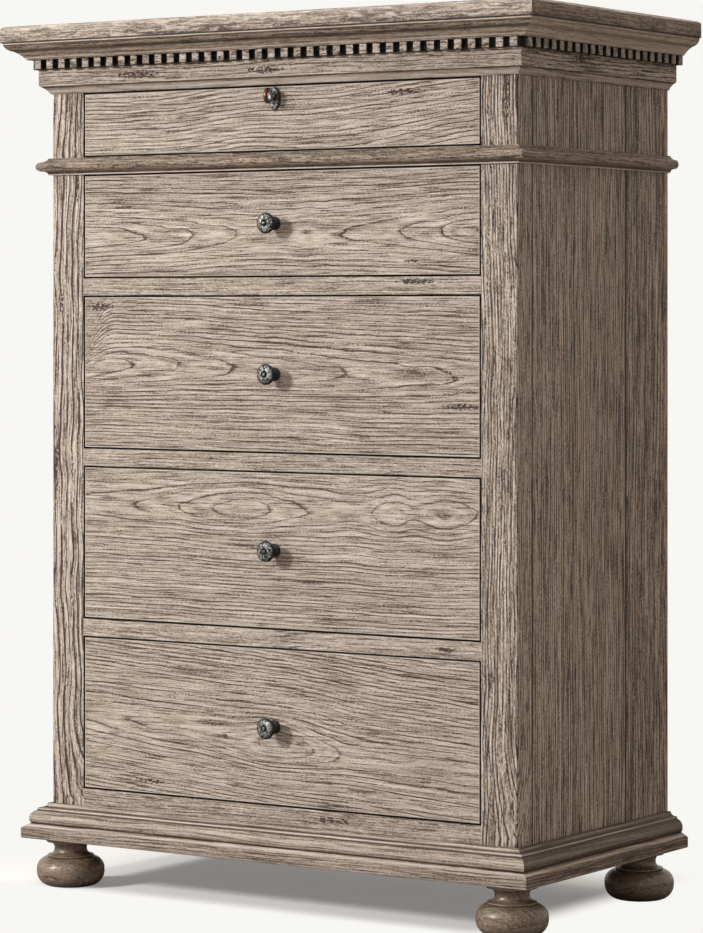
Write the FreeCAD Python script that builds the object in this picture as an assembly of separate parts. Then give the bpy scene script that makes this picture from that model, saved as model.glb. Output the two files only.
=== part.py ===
import FreeCAD, Part
import math
import os

# Tall oak chest of five drawers on turned bun feet, in millimetres.
# X runs across the front, Y from front to back, Z up. The origin is on the floor under the centre.

# Case, measured over the posts
CASE_W = 900.0
CASE_D = 478.5
POST_W = 65.0
POST_D = 42.0
POST_EASE = 2.5
SIDE_T = 22.0

# Stack of heights, from the floor to the top
FOOT_H = 80.0
PLINTH_T = 24.5
BOTTOM_RAIL_H = 61.0
RAIL_T = 28.0
OPENING_TOP = 107.0
OPENING_SECOND = 172.0
OPENING_DEEP = 253.0
DEEP_COUNT = 3
TOP_RAIL_H = 83.5
TOP_T = 27.5

# Rails across the front and their stub tenons in the posts
RAIL_D = 60.0
UPRIGHT_RAIL_T = 28.0
TENON_T = 10.0
TENON_L = 15.0
TENON_SETBACK = 8.0
TENON_SHOULDER = 12.0

# Upright boards of the sides, tongued together; shares of the width behind the post
SIDE_JOINT_SHARES = (0.291, 0.677)
TONGUE_T = 7.0
TONGUE_L = 8.0
JOINT_EASE = 1.2

# Back boards in rebates of the sides
BACK_T = 10.0
REBATE_W = 10.0
BACK_COUNT = 6
BACK_TONGUE_T = 3.4
BACK_TONGUE_L = 5.0

# Floor of the case
BOTTOM_T = 8.0

# Top board and the rounding of its upper edge; the shares give the rounding's middle point
TOP_OUT = 62.0
TOP_EDGE_RUN = 8.2
TOP_EDGE_DROP = 5.0
TOP_EDGE_SHARES = (0.40, 0.285)

# Profiles: shares of how far the piece stands out and of its height, anticlockwise.
# Two numbers end a straight line, four numbers an arc through a middle point.
FRIEZE_T = 16.4
FRIEZE_SHARES = (
    (0, 0), (0.10, 0), (0.18, 0.012), (0.49, 0.090, 0.95, 0.150), (1, 0.150), (1, 1), (0, 1),
)
CROWN_OUT = 42.6
CROWN_H = 27.5
CROWN_SHARES = (
    (0, 0), (0.343, 0), (0.343, 0.091), (0.380, 0.091), (0.519, 0.320, 0.728, 0.520),
    (0.900, 0.655, 0.990, 0.890), (1, 0.890), (1, 1), (0, 1),
)
WAIST_OUT = 20.5
WAIST_SHARES = (
    (0, 0), (0.26, 0), (0.26, 0.05), (0.36, 0.17, 0.56, 0.22), (1, 0.50, 0.60, 0.77),
    (0.41, 0.84, 0.26, 0.96), (0.26, 1), (0, 1),
)
BASE_OUT = 28.0
BASE_H = 32.5
BASE_SHARES = (
    (0, 0), (0.911, 0), (1, 0.246, 0.679, 0.646), (0.643, 0.665), (0.625, 0.772), (0.430, 0.780),
    (0.270, 0.875, 0.196, 1), (0, 1),
)
PLINTH_OUT = 37.5
PLINTH_W = 110.0
PLINTH_SHARES = ((0, 0), (0.985, 0), (1, 0.060), (1, 0.714), (0.891, 1), (0, 1))
PLINTH_BACK_W = 70.0

# Dentils: square teeth on a thin backing, under the crown and in front of the frieze
DENTIL_OUT = 12.0
DENTIL_W = 14.0
DENTIL_H = 15.7
DENTIL_BACKING = 2.5
DENTIL_FRONT_COUNT = 38
DENTIL_SIDE_COUNT = 21

# Bun feet with a peg up into the plinth; shares of the largest radius and of the height.
# The turning is cut in flats, as many round it and along each of its arcs.
FOOT_R = 56.25
FOOT_SIDES = 32
FOOT_ARC_CUTS = 4
FOOT_SHARES = (
    (0.64, 0), (0.915, 0.115, 1, 0.325), (0.905, 0.520, 0.660, 0.600), (0.685, 0.610),
    (0.685, 0.638), (0.600, 0.645), (0.480, 0.750, 0.715, 0.910), (0.730, 0.960), (0.700, 1),
)
FOOT_PEG_R = 12.0
FOOT_PEG_L = 16.0
PEG_SIDES = 8
FOOT_IN_SIDE = 22.0
FOOT_IN_FRONT = 20.5
FOOT_IN_BACK = 56.4

# Drawers: gap round the inset front, and the running clearance of wood on wood and of metal
FRONT_GAP = 2.4
RUN_GAP = 0.3
FRONT_T = 22.0
FRONT_EASE = 1.0
DRAWER_SIDE_T = 13.0
DRAWER_BACK_T = 13.0
DRAWER_BOTTOM_T = 6.0
BOTTOM_UP = 10.0
GROOVE = 6.0
SIDE_DROP = 6.0
BACK_DROP = 5.0

# Dovetails: lap left in front of the half-blind tails, spacing, half width at the root, and slope
LAP = 7.0
TAIL_PITCH = 56.0
TAIL_ROOT_SHARE = 0.30
TAIL_SLOPE_SHARE = 0.16

# Runners, guides and stops inside the case
RUNNER_W = 73.0
RUNNER_T = 22.0
GUIDE_H = 18.0
STOP_D = 20.0
STOP_H = 30.0

# Knobs, hammered to flats: shares of the head's radius and of how far the knob stands out
KNOB_SIDES = 20
KNOB_R = 16.75
KNOB_OUT = 33.0
KNOB_SHARES = (
    (0.65, 0), (0.65, 0.07), (0.34, 0.16), (0.34, 0.45), (0.94, 0.72), (1, 0.76), (1, 0.82),
    (0.74, 0.90), (0.32, 0.94), (0.20, 1),
)
STUD_R = 4.0
STUD_L = 14.0

# Lock of the top drawer, let into the back of its front, with its key and escutcheon
KEY_DROP = 16.0
SHANK_R = 2.4
SHANK_SIDES = 16
BIT_R = 7.5
BIT_T = 1.8
KEYHOLE_SLACK = 0.6
BOW_H = 27.0
BOW_L = 21.0
BOW_T = 6.0
BOW_RING = 4.2
BOW_STANDOFF = 6.5
OVAL_SIDES = 28
COLLAR_R = 3.8
COLLAR_T = 2.0
ESCUTCHEON_W = 18.5
ESCUTCHEON_H = 35.0
ESCUTCHEON_T = 2.8
ESCUTCHEON_EASE = 1.0
ESCUTCHEON_DROP = 19.0
LOCK_W = 64.0
LOCK_D = 9.5
LOCK_BELOW = 14.0
LOCK_WALL = 1.4
FACEPLATE_W = 76.0
FACEPLATE_D = 12.0
FACEPLATE_T = 2.5
BOLT_W = 30.0
BOLT_TAIL_BELOW = 8.0
BOLT_THROW = 7.0
STRIKE_SLACK = 1.5

# Working values: how far cutting blocks run past, and how near counts as the same place
OVERRUN = 20.0
NEAR = 0.01

V = FreeCAD.Vector
OPENINGS = (OPENING_TOP, OPENING_SECOND) + (OPENING_DEEP,) * DEEP_COUNT
HALF_W = CASE_W / 2
FRONT_Y = (TOP_OUT - CASE_D) / 2
BACK_Y = FRONT_Y + CASE_D
PLINTH_TOP = FOOT_H + PLINTH_T
FIRST_OPENING = PLINTH_TOP + BOTTOM_RAIL_H
TOP_OPENING = FIRST_OPENING + sum(OPENINGS) + RAIL_T * (len(OPENINGS) - 1)
TOP_UNDER = TOP_OPENING + TOP_RAIL_H
OPEN_HALF = HALF_W - POST_W
SIDE_INNER = HALF_W - SIDE_T
BACK_INNER_Y = BACK_Y - BACK_T
DRAWER_HALF = OPEN_HALF - FRONT_GAP
DRAWER_REAR_Y = BACK_INNER_Y - STOP_D - RUN_GAP
FRONT_REAR_Y = FRONT_Y + FRONT_T
LOCK_TOP = TOP_OPENING - FRONT_GAP
KEY_Z = LOCK_TOP - KEY_DROP
LOCK_FRONT_Y = FRONT_REAR_Y - LOCK_D
LOCK_ROOM = LOCK_D - 2 * LOCK_WALL
HALF_ROOM = (LOCK_ROOM - 3 * RUN_GAP) / 2


def box(xs, ys, zs):
    """Block between two places on each axis."""
    low = V(min(xs), min(ys), min(zs))
    return Part.makeBox(max(xs) - low.x, max(ys) - low.y, max(zs) - low.z, low)


def mirrored(shape):
    """The same piece on the left-hand side."""
    return shape.mirror(V(0, 0, 0), V(1, 0, 0))


def scaled(shares, out, height):
    """A table of shares as lengths: out for the first of each pair, height for the second."""
    return [[s * (height if i % 2 else out) for i, s in enumerate(entry)] for entry in shares]


def flat_face(entries, place):
    """Closed face whose outline runs by straight lines, or by arcs through a middle point."""
    edges = []
    here = place(*entries[-1][-2:])
    for entry in entries:
        there = place(*entry[-2:])
        if len(entry) == 4:
            edges.append(Part.Arc(here, place(*entry[:2]), there).toShape())
        else:
            edges.append(Part.makeLine(here, there))
        here = there
    return Part.Face(Part.Wire(edges))


def cut_arcs(entries, cuts):
    """The outline with each arc through a middle point cut into straight lines."""
    lines = [entries[0]]
    for start, entry in zip(entries, entries[1:]):
        if len(entry) == 4:
            ends = [V(*start[-2:], 0), V(*entry[:2], 0), V(*entry[2:], 0)]
            points = Part.Arc(*ends).toShape().discretize(cuts + 1)
            lines += [(point.x, point.y) for point in points[1:]]
        else:
            lines.append(entry)
    return lines


def ring(sides, across, up, centre):
    """Corners in equal steps round an oval, or round a circle where across and up are as long."""
    turns = [2 * math.pi * i / sides for i in range(sides + 1)]
    return [centre + across * math.cos(t) + up * math.sin(t) for t in turns]


def flat_prism(corners, along):
    """Closed ring of corners carried along a straight line."""
    return Part.Face(Part.makePolygon(corners)).extrude(along)


def faceted(rings):
    """Solid of flat faces from each ring of corners to the next, closed by the two end rings."""
    outlines = [rings[0], rings[-1]]
    for near, far in zip(rings, rings[1:]):
        pairs = zip(near, near[1:], far[1:], far)
        outlines += [[a, b, c, d, a] for a, b, c, d in pairs]
    shell = Part.makeShell([Part.Face(Part.makePolygon(outline)) for outline in outlines])
    shell.sewShape()
    return Part.makeSolid(shell)


def peg(centre, along, across, up):
    """Peg of equal flats, which also cuts its own hole."""
    return flat_prism(ring(PEG_SIDES, across, up, centre), along)


def eased(shape, size, where, rounded=False):
    """The shape with a small chamfer, or a rounding, on the edges whose ends all pass the test."""
    edges = [e for e in shape.Edges if all(where(v.Point) for v in e.Vertexes)]
    return shape.makeFillet(size, edges) if rounded else shape.makeChamfer(size, edges)


def write(name, *shapes):
    """One sub-part, as one solid or as a group of separate solids."""
    solids = [solid for shape in shapes for solid in shape.Solids]
    shape = solids[0] if len(solids) == 1 else Part.makeCompound(solids)
    shape.exportStep(f"parts/{name}.step")


def opening_levels():
    """Bottom and top of each drawer opening, the top drawer first."""
    levels = []
    top = TOP_OPENING
    for height in OPENINGS:
        levels.append((top - height, top))
        top -= height + RAIL_T
    return levels


def mitre_block(corners, low, height):
    """Upright block over a four-cornered plan, that a length of moulding is cut to."""
    plan = flat_face(corners, lambda x, y: V(x, y, low - OVERRUN))
    return plan.extrude(V(0, 0, height + 2 * OVERRUN))


def mouldings(name, shares, start, out, low, height):
    """One profile round the front and both sides: three lengths with mitres at the front corners.

    start is where its back face lies and out how far it stands beyond that, from the case's faces."""
    reach = start + out
    profile = scaled(shares, out, height)
    end_x = -HALF_W - reach - OVERRUN
    end_y = FRONT_Y - reach - OVERRUN
    front = flat_face(profile, lambda p, z: V(end_x, FRONT_Y - start - p, low + z))
    right = flat_face(profile, lambda p, z: V(HALF_W + start + p, end_y, low + z))
    far = reach + OVERRUN
    near = min(start, 0) - OVERRUN
    outer = (HALF_W + far, FRONT_Y - far)
    inner = (HALF_W + near, FRONT_Y - near)
    front_plan = [(-outer[0], outer[1]), outer, inner, (-inner[0], inner[1])]
    side_plan = [outer, (outer[0], BACK_Y), (inner[0], BACK_Y), inner]
    front_run = front.extrude(V(-2 * end_x, 0, 0)).common(mitre_block(front_plan, low, height))
    side_run = right.extrude(V(0, BACK_Y - end_y, 0)).common(mitre_block(side_plan, low, height))
    return {f"{name}_front": front_run, f"{name}_right": side_run, f"{name}_left": mirrored(side_run)}


def flat_rail(low):
    """Flat rail between two drawers, with a stub tenon into each post."""
    rail = box((-OPEN_HALF, OPEN_HALF), (FRONT_Y, FRONT_Y + RAIL_D), (low, low + RAIL_T))
    tenon_low = low + (RAIL_T - TENON_T) / 2
    half = OPEN_HALF + TENON_L
    depth = (FRONT_Y + TENON_SETBACK, FRONT_Y + POST_D - TENON_SETBACK)
    return rail.fuse(box((-half, half), depth, (tenon_low, tenon_low + TENON_T))).removeSplitter()


def upright_rail(low, high):
    """Rail on edge above or below all the drawers, with a tenon into each post."""
    rail = box((-OPEN_HALF, OPEN_HALF), (FRONT_Y, FRONT_Y + UPRIGHT_RAIL_T), (low, high))
    tenon_y = FRONT_Y + (UPRIGHT_RAIL_T - TENON_T) / 2
    half = OPEN_HALF + TENON_L
    heights = (low + TENON_SHOULDER, high - TENON_SHOULDER)
    return rail.fuse(box((-half, half), (tenon_y, tenon_y + TENON_T), heights)).removeSplitter()


def tongue(front):
    """Upright tongue on the front edge of a side board."""
    middle = HALF_W - SIDE_T / 2
    thickness = (middle - TONGUE_T / 2, middle + TONGUE_T / 2)
    return box(thickness, (front - TONGUE_L, front), (PLINTH_TOP, TOP_UNDER))


def front_post(rails):
    """Right-hand post: its outer arris rounded, grooved for the side, mortised for the rails."""
    post = box((OPEN_HALF, HALF_W), (FRONT_Y, FRONT_Y + POST_D), (PLINTH_TOP, TOP_UNDER))
    corner = V(HALF_W, FRONT_Y, 0)
    post = eased(post, POST_EASE, lambda p: V(p.x, p.y, 0).isEqual(corner, NEAR), rounded=True)
    return post.cut([tongue(FRONT_Y + POST_D)] + rails)


def side_panel():
    """Right-hand side: upright boards, each tongued into the one in front, the last one rebated."""
    start = FRONT_Y + POST_D
    edges = [start + share * (BACK_Y - start) for share in (0, *SIDE_JOINT_SHARES, 1)]
    boards = []
    for front, rear in zip(edges, edges[1:]):
        board = box((SIDE_INNER, HALF_W), (front, rear), (PLINTH_TOP, TOP_UNDER))
        corner = V(HALF_W, front, 0)
        board = eased(board, JOINT_EASE, lambda p: V(p.x, p.y, 0).isEqual(corner, NEAR))
        board = board.fuse(tongue(front)).removeSplitter()
        if rear < BACK_Y:
            board = board.cut(tongue(rear))
        boards.append(board)
    rebate = box((SIDE_INNER, SIDE_INNER + REBATE_W), (BACK_INNER_Y, BACK_Y), (PLINTH_TOP, TOP_UNDER))
    boards[-1] = boards[-1].cut(rebate)
    return boards


def back_boards():
    """Upright boards of the back, tongued together between the rebates of the sides."""
    half = SIDE_INNER + REBATE_W
    width = 2 * half / BACK_COUNT
    middle = BACK_Y - BACK_T / 2
    thickness = (middle - BACK_TONGUE_T / 2, middle + BACK_TONGUE_T / 2)
    boards = []
    for i in range(BACK_COUNT):
        left = i * width - half
        board = box((left, left + width), (BACK_INNER_Y, BACK_Y), (PLINTH_TOP, TOP_UNDER))
        if i > 0:
            board = board.fuse(box((left - BACK_TONGUE_L, left), thickness, (PLINTH_TOP, TOP_UNDER)))
        boards.append(board.removeSplitter())
    return [b.cut(boards[i + 1]) if i + 1 < BACK_COUNT else b for i, b in enumerate(boards)]


def top_board():
    """Top with the upper edge rounded over at the front and at both ends."""
    high = TOP_UNDER + TOP_T
    edge = high - TOP_EDGE_DROP
    half = HALF_W + TOP_OUT
    front = FRONT_Y - TOP_OUT
    in_run = TOP_EDGE_RUN * TOP_EDGE_SHARES[0]
    mid_z = high - TOP_EDGE_DROP * TOP_EDGE_SHARES[1]
    across = flat_face(
        [
            (-half, TOP_UNDER), (half, TOP_UNDER), (half, edge),
            (half - in_run, mid_z, half - TOP_EDGE_RUN, high), (TOP_EDGE_RUN - half, high),
            (in_run - half, mid_z, -half, edge),
        ],
        lambda x, z: V(x, front - OVERRUN, z),
    )
    along = flat_face(
        [
            (front, TOP_UNDER), (BACK_Y, TOP_UNDER), (BACK_Y, high), (front + TOP_EDGE_RUN, high),
            (front + in_run, mid_z, front, edge),
        ],
        lambda y, z: V(-half - OVERRUN, y, z),
    )
    board = across.extrude(V(0, BACK_Y - front + 2 * OVERRUN, 0))
    return board.common(along.extrude(V(2 * (half + OVERRUN), 0, 0)))


def dentil_strip(length, count, low):
    """Strip of square teeth along +X from the origin, teeth towards -Y."""
    pitch = (length - DENTIL_W) / (count - 1)
    comb = [(0, 0)]
    for i in range(count):
        left = i * pitch
        tooth = [(left, -DENTIL_BACKING), (left, -DENTIL_OUT)]
        tooth += [(left + DENTIL_W, -DENTIL_OUT), (left + DENTIL_W, -DENTIL_BACKING)]
        comb += tooth[1:] if i == 0 else tooth
    comb[-1] = (length, 0)
    return flat_face(comb, lambda x, y: V(x, y, low)).extrude(V(0, 0, DENTIL_H))


def dentils():
    """The front strip and the two side strips, which leave a square notch open at each corner."""
    low = TOP_UNDER - CROWN_H - DENTIL_H
    half = HALF_W + FRIEZE_T
    front_y = FRONT_Y - FRIEZE_T
    front = dentil_strip(2 * half, DENTIL_FRONT_COUNT, low)
    front.translate(V(-half, front_y, 0))
    right = dentil_strip(BACK_Y - front_y, DENTIL_SIDE_COUNT, low)
    right.rotate(V(0, 0, 0), V(0, 0, 1), 90)
    right.translate(V(half, front_y, 0))
    return front, right


def foot_peg(x, y):
    """Peg on top of a foot."""
    return peg(V(x, y, FOOT_H), V(0, 0, FOOT_PEG_L), V(FOOT_PEG_R, 0, 0), V(0, FOOT_PEG_R, 0))


def foot(x, y):
    """Bun foot about its own upright axis: bun, bead, hollow neck, collar and peg."""
    outline = cut_arcs(scaled(FOOT_SHARES, FOOT_R, FOOT_H), FOOT_ARC_CUTS)
    rings = [ring(FOOT_SIDES, V(r, 0, 0), V(0, r, 0), V(x, y, z)) for r, z in outline]
    return faceted(rings).fuse(foot_peg(x, y)).removeSplitter()


def runner(level):
    """Right-hand runner: a shelf under the drawer side, with an upstand that guides it."""
    guide = DRAWER_HALF + RUN_GAP
    inner = SIDE_INNER - RUNNER_W
    section = [
        (inner, level - RUNNER_T), (SIDE_INNER, level - RUNNER_T), (SIDE_INNER, level + GUIDE_H),
        (guide, level + GUIDE_H), (guide, level), (inner, level),
    ]
    start = FRONT_Y + RAIL_D
    return flat_face(section, lambda x, z: V(x, start, z)).extrude(V(0, BACK_INNER_Y - start, 0))


def kicker():
    """Right-hand bar above the top drawer, that keeps it level when it is pulled out."""
    across = (SIDE_INNER - RUNNER_W, SIDE_INNER)
    return box(across, (FRONT_Y + RAIL_D, BACK_INNER_Y), (TOP_OPENING, TOP_OPENING + RUNNER_T))


def drawer_stop(level):
    """Right-hand block that stands on the runner behind the drawer side."""
    across = (DRAWER_HALF - DRAWER_SIDE_T, DRAWER_HALF)
    return box(across, (BACK_INNER_Y - STOP_D, BACK_INNER_Y), (level, level + STOP_H))


def drawer_side(low, high):
    """Right-hand drawer side: tails into the front, half-blind, and through the back."""
    count = max(2, round((high - low) / TAIL_PITCH))
    pitch = (high - low) / count
    root = pitch * TAIL_ROOT_SHARE
    body_rear = DRAWER_REAR_Y - DRAWER_BACK_T
    front_tip = root + TAIL_SLOPE_SHARE * (FRONT_T - LAP)
    rear_tip = root + TAIL_SLOPE_SHARE * DRAWER_BACK_T
    centres = [low + (i + 1 / 2) * pitch for i in range(count)]
    outline = [(FRONT_REAR_Y, low)]
    for z in centres:
        outline += [(FRONT_REAR_Y, z - root), (FRONT_Y + LAP, z - front_tip)]
        outline += [(FRONT_Y + LAP, z + front_tip), (FRONT_REAR_Y, z + root)]
    outline += [(FRONT_REAR_Y, high), (body_rear, high)]
    for z in reversed(centres):
        outline += [(body_rear, z + root), (DRAWER_REAR_Y, z + rear_tip)]
        outline += [(DRAWER_REAR_Y, z - rear_tip), (body_rear, z - root)]
    outline += [(body_rear, low)]
    inner = DRAWER_HALF - DRAWER_SIDE_T
    return flat_face(outline, lambda y, z: V(inner, y, z)).extrude(V(DRAWER_SIDE_T, 0, 0))


def drawer(low, high):
    """Front, sides, back and bottom of the drawer in the opening between two heights."""
    side_low = low + RUN_GAP
    side_high = high - FRONT_GAP - SIDE_DROP
    bottom_low = side_low + BOTTOM_UP
    bottom_top = bottom_low + DRAWER_BOTTOM_T
    half = DRAWER_HALF - DRAWER_SIDE_T + GROOVE
    bottom = box((-half, half), (FRONT_REAR_Y - GROOVE, DRAWER_REAR_Y), (bottom_low, bottom_top))
    right = drawer_side(side_low, side_high)
    sides = [right, mirrored(right)]
    whole = (-DRAWER_HALF, DRAWER_HALF)
    front = box(whole, (FRONT_Y, FRONT_REAR_Y), (low + FRONT_GAP, high - FRONT_GAP))
    front = eased(front, FRONT_EASE, lambda p: abs(p.y - FRONT_Y) < NEAR)
    depth = (DRAWER_REAR_Y - DRAWER_BACK_T, DRAWER_REAR_Y)
    back = box(whole, depth, (bottom_top, side_high - BACK_DROP)).cut(sides)
    return front.cut(sides + [bottom]), [side.cut(bottom) for side in sides], back, bottom


def stud(height):
    """Stud of a knob, along Y into the drawer front."""
    return peg(V(0, FRONT_Y, height), V(0, STUD_L, 0), V(STUD_R, 0, 0), V(0, 0, STUD_R))


def knob(height):
    """Metal knob with rose, neck, domed head and button, hammered to flats from ring to ring."""
    rings = []
    for radius, out in scaled(KNOB_SHARES, KNOB_R, KNOB_OUT):
        centre = V(0, FRONT_Y - out, height)
        rings.append(ring(KNOB_SIDES, V(radius, 0, 0), V(0, 0, radius), centre))
    return faceted(rings).fuse(stud(height)).removeSplitter()


def keyhole(front, rear):
    """Round hole for the shank with a slot below it for the bit."""
    hole = Part.makeCylinder(SHANK_R + RUN_GAP, rear - front, V(0, front, KEY_Z), V(0, 1, 0))
    half = BIT_T / 2 + KEYHOLE_SLACK
    return hole.fuse(box((-half, half), (front, rear), (KEY_Z - BIT_R - KEYHOLE_SLACK, KEY_Z)))


def escutcheon():
    """Oval plate round the keyhole, its outer edge eased."""
    centre = V(0, FRONT_Y, LOCK_TOP - ESCUTCHEON_DROP)
    oval = ring(OVAL_SIDES, V(ESCUTCHEON_W / 2, 0, 0), V(0, 0, ESCUTCHEON_H / 2), centre)
    plate = flat_prism(oval, V(0, -ESCUTCHEON_T, 0))
    plate = eased(plate, ESCUTCHEON_EASE, lambda p: p.y < FRONT_Y - ESCUTCHEON_T + NEAR)
    return plate.cut(keyhole(FRONT_Y - ESCUTCHEON_T - OVERRUN, FRONT_Y + OVERRUN))


def lock_body():
    """Outside of the lock: the box behind the keyhole and the faceplate in the drawer's top edge."""
    half = LOCK_W / 2
    case = box((-half, half), (LOCK_FRONT_Y, FRONT_REAR_Y), (KEY_Z - LOCK_BELOW, LOCK_TOP))
    half = FACEPLATE_W / 2
    depth = (FRONT_REAR_Y - FACEPLATE_D, FRONT_REAR_Y)
    return case.fuse(box((-half, half), depth, (LOCK_TOP - FACEPLATE_T, LOCK_TOP))).removeSplitter()


def lock_case():
    """Hollow lock box with the bolt's slot through its faceplate and the keyhole in its front."""
    half = LOCK_W / 2 - LOCK_WALL
    depth = (LOCK_FRONT_Y + LOCK_WALL, FRONT_REAR_Y - LOCK_WALL)
    room = box((-half, half), depth, (KEY_Z - LOCK_BELOW + LOCK_WALL, LOCK_TOP - FACEPLATE_T))
    half = BOLT_W / 2 + RUN_GAP
    slot = box((-half, half), depth, (KEY_Z, LOCK_TOP + OVERRUN))
    hole = keyhole(LOCK_FRONT_Y - OVERRUN, LOCK_FRONT_Y + LOCK_WALL)
    return lock_body().cut([room, slot, hole])


def lock_bolt():
    """Bolt drawn in: a head flush with the faceplate, above the key's bit, and a thinner tail."""
    half = BOLT_W / 2
    rear = FRONT_REAR_Y - LOCK_WALL - RUN_GAP
    head_low = KEY_Z + BIT_R + KEYHOLE_SLACK
    head = box((-half, half), (LOCK_FRONT_Y + LOCK_WALL + RUN_GAP, rear), (head_low, LOCK_TOP))
    tail = box((-half, half), (rear - HALF_ROOM, rear), (KEY_Z - BOLT_TAIL_BELOW, head_low))
    return head.fuse(tail).removeSplitter()


def strike_mortise():
    """Pocket in the rail above, for the thrown bolt."""
    half = BOLT_W / 2 + STRIKE_SLACK
    depth = (LOCK_FRONT_Y + LOCK_WALL - STRIKE_SLACK, FRONT_REAR_Y - LOCK_WALL + STRIKE_SLACK)
    return box((-half, half), depth, (TOP_OPENING, LOCK_TOP + BOLT_THROW + STRIKE_SLACK))


def round_bar(radius, front, rear):
    """Round of equal flats along the key's axis."""
    start = V(0, front, KEY_Z)
    return flat_prism(ring(SHANK_SIDES, V(radius, 0, 0), V(0, 0, radius), start), V(0, rear - front, 0))


def key():
    """Key in the lock: oval ring bow, collar, shank and a bit that points down."""
    bow_end = FRONT_Y - ESCUTCHEON_T - BOW_STANDOFF
    centre = V(-BOW_T / 2, bow_end - BOW_L / 2, KEY_Z)
    ovals = []
    for inset in (0, BOW_RING):
        oval = ring(OVAL_SIDES, V(0, BOW_L / 2 - inset, 0), V(0, 0, BOW_H / 2 - inset), centre)
        ovals.append(flat_prism(oval, V(BOW_T, 0, 0)))
    bow = ovals[0].cut(ovals[1])
    tip = LOCK_FRONT_Y + LOCK_WALL + RUN_GAP + HALF_ROOM
    start = bow_end - BOW_RING / 2
    shank = round_bar(SHANK_R, start, tip)
    collar = round_bar(COLLAR_R, bow_end, bow_end + COLLAR_T)
    half = BIT_T / 2
    bit = box((-half, half), (tip - HALF_ROOM, tip), (KEY_Z - BIT_R, KEY_Z))
    return bow.fuse([shank, collar, bit]).removeSplitter()


def build_case():
    """Posts, rails, panels, runners and top."""
    levels = opening_levels()
    rails = [flat_rail(low - RAIL_T) for low, _ in levels[:-1]]
    bottom_rail = upright_rail(PLINTH_TOP, FIRST_OPENING)
    top_rail = upright_rail(TOP_OPENING, TOP_UNDER)
    post = front_post(rails + [bottom_rail, top_rail])
    posts = [post, mirrored(post)]
    write("front_post_right", posts[0])
    write("front_post_left", posts[1])
    write("bottom_rail", bottom_rail)
    write("top_rail", top_rail.cut(strike_mortise()))
    write("drawer_rails", *rails)
    right = side_panel()
    write("side_panel_right", *right)
    write("side_panel_left", *[mirrored(board) for board in right])
    write("back_boards", *back_boards())
    floor = (PLINTH_TOP, PLINTH_TOP + BOTTOM_T)
    panel = box((-SIDE_INNER, SIDE_INNER), (FRONT_Y + UPRIGHT_RAIL_T, BACK_INNER_Y), floor)
    write("bottom_panel", panel.cut(posts))
    bars = [runner(low) for low, _ in levels] + [kicker()]
    write("drawer_runners", *bars, *[mirrored(bar) for bar in bars])
    stops = [drawer_stop(low) for low, _ in levels]
    write("drawer_stops", *stops, *[mirrored(stop) for stop in stops])
    write("top_board", top_board())


def build_mouldings():
    """Frieze, crown, dentils, waist and base mouldings, and the plinth on its turned feet."""
    crown_low = TOP_UNDER - CROWN_H
    runs = {
        **mouldings("frieze", FRIEZE_SHARES, 0, FRIEZE_T, TOP_OPENING, TOP_RAIL_H),
        **mouldings("crown", CROWN_SHARES, FRIEZE_T, CROWN_OUT, crown_low, CROWN_H),
        **mouldings("waist_moulding", WAIST_SHARES, 0, WAIST_OUT, opening_levels()[1][1], RAIL_T),
        **mouldings("base_moulding", BASE_SHARES, 0, BASE_OUT, PLINTH_TOP, BASE_H),
    }
    for name, run in runs.items():
        write(name, run)
    front, right = dentils()
    write("dentils_front", front)
    write("dentils_sides", right, mirrored(right))
    front_feet = [foot(side * (HALF_W - FOOT_IN_SIDE), FRONT_Y + FOOT_IN_FRONT) for side in (-1, 1)]
    rear_feet = [foot(side * (HALF_W - FOOT_IN_SIDE), BACK_Y - FOOT_IN_BACK) for side in (-1, 1)]
    write("front_feet", *front_feet)
    write("rear_feet", *rear_feet)
    inner = PLINTH_OUT - PLINTH_W
    for name, run in mouldings("plinth", PLINTH_SHARES, inner, PLINTH_W, FOOT_H, PLINTH_T).items():
        write(name, run.cut(front_feet + rear_feet))
    half = HALF_W + inner
    write("plinth_back", box((-half, half), (BACK_Y - PLINTH_BACK_W, BACK_Y), (FOOT_H, PLINTH_TOP)))


def build_drawers():
    """Five dovetailed drawers: the top one has a lock, the others a knob."""
    for number, (low, high) in enumerate(opening_levels(), start=1):
        front, sides, back, bottom = drawer(low, high)
        if number == 1:
            front = front.cut([lock_body(), keyhole(FRONT_Y - OVERRUN, FRONT_REAR_Y)])
        else:
            middle = (low + high) / 2
            front = front.cut(stud(middle))
            write(f"drawer_{number}_knob", knob(middle))
        write(f"drawer_{number}_front", front)
        write(f"drawer_{number}_sides", *sides)
        write(f"drawer_{number}_back", back)
        write(f"drawer_{number}_bottom", bottom)


def build_lock():
    """Lock, bolt, key and escutcheon of the top drawer."""
    write("lock_case", lock_case())
    write("lock_bolt", lock_bolt())
    write("key", key())
    write("escutcheon", escutcheon())


os.makedirs("parts", exist_ok=True)
build_case()
build_mouldings()
build_drawers()
build_lock()
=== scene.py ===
import math
import bmesh
import bpy
import numpy as np
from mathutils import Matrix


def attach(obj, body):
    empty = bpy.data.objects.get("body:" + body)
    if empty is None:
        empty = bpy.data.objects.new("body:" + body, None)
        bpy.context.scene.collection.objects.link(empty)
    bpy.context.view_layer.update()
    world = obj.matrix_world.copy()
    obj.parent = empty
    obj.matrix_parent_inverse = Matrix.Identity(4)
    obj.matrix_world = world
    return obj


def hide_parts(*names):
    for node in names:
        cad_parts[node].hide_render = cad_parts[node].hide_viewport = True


# Looks of a tall chest of drawers in weathered oak with pewter-dark knobs, a lock and its key.
# Everything is in metres in the frame of the CAD part: X across, Y to the back, Z up.

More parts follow.
